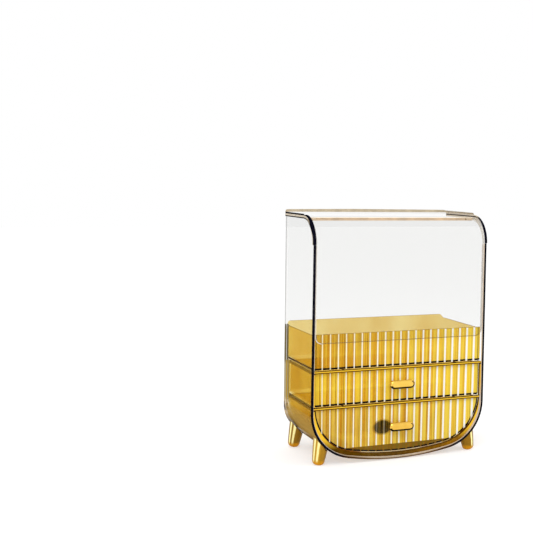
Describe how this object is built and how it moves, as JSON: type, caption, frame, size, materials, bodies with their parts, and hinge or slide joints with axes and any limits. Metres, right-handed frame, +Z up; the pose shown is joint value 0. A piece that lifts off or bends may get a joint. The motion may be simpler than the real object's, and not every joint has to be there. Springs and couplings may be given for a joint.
{
  "type": "dustproof makeup organizer",
  "caption": "Countertop makeup organizer: clear case with a flip-up front door, amber fluted tray and drawers, gold pill handles and splayed gold feet.",
  "frame": {"origin": "on the floor under the middle of the whole organizer's bounding box", "axes": "+X to the right seen from the front, +Y from the front to the back, +Z up"},
  "size_m": [0.264, 0.137, 0.3445],
  "materials": {
    "clear_plastic": "clear, polished",
    "amber_plastic": "translucent amber, polished",
    "gold_plate": "gold electroplated",
    "steel": "plain"
  },
  "bodies": {
    "case": {"case_shell": "clear_plastic", "top_cover": "clear_plastic", "door_pin_left": "steel", "door_pin_right": "steel", "cabinet_frame": "amber_plastic", "upper_tray": "amber_plastic", "foot_front_left": "gold_plate", "foot_front_right": "gold_plate", "foot_back_left": "gold_plate", "foot_back_right": "gold_plate", "foot_screw_front_left": "steel", "foot_screw_front_right": "steel", "foot_screw_back_left": "steel", "foot_screw_back_right": "steel"},
    "door": {"front_door": "clear_plastic"},
    "upper_drawer_unit": {"upper_drawer": "amber_plastic", "upper_handle": "gold_plate", "upper_handle_screw": "steel"},
    "lower_drawer_unit": {"lower_drawer": "amber_plastic", "lower_handle": "gold_plate", "lower_handle_screw": "steel"}
  },
  "joints": [
    {"name": "door_hinge", "type": "hinge", "parent": "case", "child": "door", "pos_m": [0, -0.0245, 0.334], "axis": [-1, 0, 0], "range_deg": [0, 90]},
    {"name": "upper_drawer_slide", "type": "slide", "parent": "case", "child": "upper_drawer_unit", "axis": [0, -1, 0], "range_m": [0, 0.09]},
    {"name": "lower_drawer_slide", "type": "slide", "parent": "case", "child": "lower_drawer_unit", "axis": [0, -1, 0], "range_m": [0, 0.09]}
  ]
}
